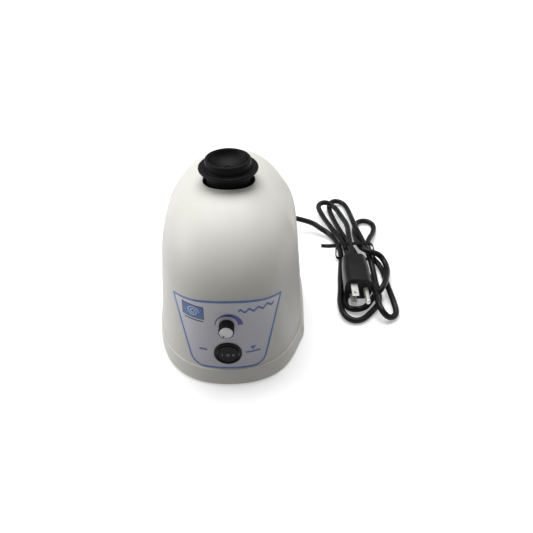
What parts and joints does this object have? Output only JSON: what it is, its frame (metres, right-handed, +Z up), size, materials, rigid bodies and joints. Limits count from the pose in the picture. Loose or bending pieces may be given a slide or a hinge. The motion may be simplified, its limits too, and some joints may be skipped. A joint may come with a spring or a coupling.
{
  "type": "vortex mixer",
  "caption": "Bench vortex mixer: arched housing on a plinth, orbiting rubber cup head pressed to start, speed knob, rocker switch, mains lead tied in a hank.",
  "frame": {"origin": "on the table, under the middle of the mixer's footprint, knob included and lead left out", "axes": "+Z up; the control panel and knob face -Y; +X to the right of someone facing the panel"},
  "size_m": [0.2303, 0.3077, 0.167],
  "materials": {
    "off_white_abs": "fine satin moulded plastic",
    "overlay": "printed polycarbonate overlay",
    "black_rubber": "matt moulded rubber",
    "black_plastic": "satin moulded plastic",
    "silver_cap": "silver-grey satin plastic",
    "white_nylon": "turned nylon",
    "black_cord": "satin PVC",
    "plated_steel": "bright nickel plate",
    "bearing_steel": "ground steel",
    "cast_iron": "painted casting",
    "sheet_steel": "zinc-plated sheet",
    "cast_aluminium": "die cast",
    "copper": "enamelled copper wire",
    "brass": "turned brass",
    "green_board": "fibreglass board",
    "component_blue": "moulded components",
    "wire": "insulated wire"
  },
  "bodies": {
    "root": {"ballast_plate": "cast_iron", "ballast_screws": "plated_steel", "base_pan": "off_white_abs", "board_components": "component_blue", "board_heatsink": "cast_aluminium", "board_screws": "plated_steel", "control_board": "green_board", "cord_gland": "black_plastic", "cord_hank": "black_cord", "cord_tie": "black_cord", "foot_screws": "plated_steel", "front_label": "overlay", "gland_nut": "black_plastic", "housing_screws": "plated_steel", "housing_shell": "off_white_abs", "internal_wires": "wire", "lower_bearing": "bearing_steel", "lower_bracket": "cast_aluminium", "motor_bolts": "plated_steel", "motor_plate": "sheet_steel", "mount_screws": "plated_steel", "plug_blades": "plated_steel", "plug_body": "black_cord", "plug_ground_pin": "plated_steel", "potentiometer": "black_plastic", "power_cord": "black_cord", "rubber_feet": "black_rubber", "stator_coils": "copper", "stator_core": "sheet_steel", "switch_bezel": "black_plastic", "switch_body": "black_plastic", "switch_terminals": "brass", "touch_bracket": "sheet_steel", "touch_switch": "black_plastic", "upper_bearing": "bearing_steel", "upper_bracket": "cast_aluminium", "vibration_mounts": "black_rubber"},
    "rotor": {"rotor_core": "sheet_steel", "rotor_end_rings": "cast_aluminium", "motor_shaft": "plated_steel", "cooling_fan": "black_plastic", "spring_collar": "cast_aluminium", "press_spring": "plated_steel"},
    "press_hub": {"eccentric_hub": "cast_aluminium", "counterweight": "brass", "counterweight_screws": "plated_steel", "pin_screw": "plated_steel"},
    "cup_head": {"cup_bearing": "bearing_steel", "cup_holder": "white_nylon", "holder_circlip": "plated_steel", "rubber_cup": "black_rubber"},
    "knob": {"knob_body": "black_plastic", "knob_cap": "silver_cap", "knob_shaft": "plated_steel"},
    "rocker": {"switch_rocker": "black_plastic"},
    "touch_lever": {"touch_lever": "plated_steel"}
  },
  "joints": [
    {"name": "shaft_spin", "type": "hinge", "parent": "root", "child": "rotor", "pos_m": [0, 0.018, 0.06], "axis": [0, 0, 1], "continuous": true},
    {"name": "head_press", "type": "slide", "parent": "rotor", "child": "press_hub", "axis": [0, 0, -1], "range_m": [0, 0.0025], "stiffness_N_per_m": 2000, "springref_m": -0.0008, "deforming": ["press_spring"]},
    {"name": "head_orbit", "type": "hinge", "parent": "press_hub", "child": "cup_head", "pos_m": [0, 0.0155, 0.137], "axis": [0, 0, 1], "continuous": true},
    {"name": "knob_turn", "type": "hinge", "parent": "root", "child": "knob", "pos_m": [0, -0.08, 0.065], "axis": [0, 1, 0], "range_deg": [0, 300]},
    {"name": "rocker_tilt", "type": "hinge", "parent": "root", "child": "rocker", "pos_m": [0, -0.0778, 0.035], "axis": [0, 0, 1], "range_deg": [-10, 10]},
    {"name": "lever_dip", "type": "hinge", "parent": "root", "child": "touch_lever", "pos_m": [0, 0.052, 0.1062], "axis": [1, 0, 0], "range_deg": [0, 8]}
  ],
  "couplings": [
    {"joint": "head_orbit", "follows": "shaft_spin", "ratio": -1},
    {"joint": "lever_dip", "follows": "head_press", "rad_per_m": 52.08}
  ]
}
